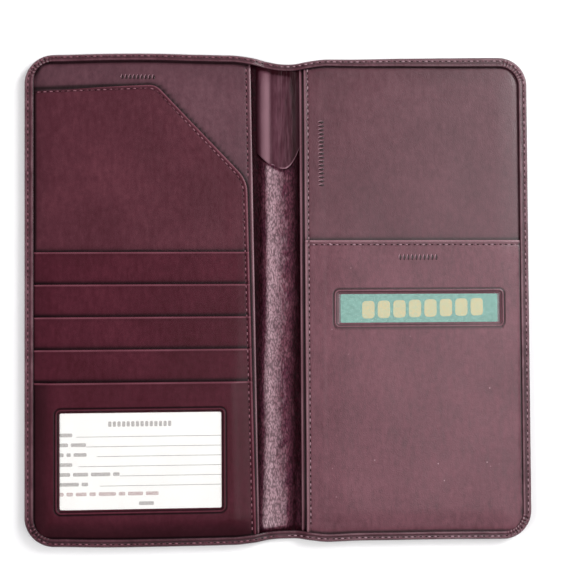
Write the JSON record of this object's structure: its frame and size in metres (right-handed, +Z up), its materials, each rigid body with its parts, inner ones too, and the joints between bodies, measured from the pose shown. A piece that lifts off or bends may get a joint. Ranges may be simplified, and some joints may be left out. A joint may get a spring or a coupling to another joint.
{
  "type": "travel document organizer",
  "caption": "Long bifold travel wallet that opens flat, with a ticket pocket, stepped card slots, a windowed card pocket, a passport pocket with a small window and a pen sleeve on the spine.",
  "frame": {"origin": "middle of the open wallet, at the height of the surface it lies on", "axes": "+X to the half with the passport pocket, +Y along the spine to the head edge, +Z up out of the open pockets"},
  "size_m": [0.242, 0.235, 0.0074],
  "materials": {
    "cover_leather": "burgundy calf, fine grain, satin",
    "panel_leather": "smooth burgundy calf, soft sheen",
    "pocket_leather": "smooth burgundy calf, soft sheen",
    "spine_leather": "soft pebbled burgundy leather",
    "binding_leather": "thin folded burgundy leather tape",
    "lining_fabric": "plain woven lining",
    "stiffener_board": "grey-brown fibre board",
    "paper_card": "uncoated white card",
    "label_card": "printed green card",
    "clear_vinyl": "clear flexible vinyl"
  },
  "bodies": {
    "right_half": {"outer_cover_right": "cover_leather", "stiffener_board_right": "stiffener_board", "lining_right": "lining_fabric", "edge_binding_right": "binding_leather", "gutter_pocket_panel": "panel_leather", "document_pocket_panel": "panel_leather", "window_label_card": "label_card", "passport_window_pane": "clear_vinyl", "passport_pocket_front": "panel_leather"},
    "spine": {"spine_cover": "cover_leather", "spine_lining": "spine_leather", "pen_sleeve": "spine_leather", "spine_binding_head": "binding_leather", "spine_binding_tail": "binding_leather"},
    "left_half": {"outer_cover_left": "cover_leather", "stiffener_board_left": "stiffener_board", "lining_left": "lining_fabric", "edge_binding_left": "binding_leather", "ticket_back_panel": "pocket_leather", "ticket_pocket_front": "pocket_leather", "card_slot_1": "pocket_leather", "card_slot_2": "pocket_leather", "card_slot_3": "pocket_leather", "card_slot_4": "pocket_leather", "id_window_panel": "pocket_leather", "id_window_pane": "clear_vinyl"},
    "id_card": {"id_insert_card": "paper_card"}
  },
  "joints": [
    {"name": "spine_fold", "type": "hinge", "parent": "right_half", "child": "spine", "pos_m": [0.0065, 0, 0.0006], "axis": [0, 1, 0], "range_deg": [0, 90]},
    {"name": "cover_fold", "type": "hinge", "parent": "spine", "child": "left_half", "pos_m": [-0.0065, 0, 0.0006], "axis": [0, 1, 0], "range_deg": [0, 90]},
    {"name": "id_card_slide", "type": "slide", "parent": "left_half", "child": "id_card", "axis": [0, 1, 0], "range_m": [0, 0.064]}
  ],
  "couplings": [
    {"joint": "cover_fold", "follows": "spine_fold", "ratio": 1}
  ]
}
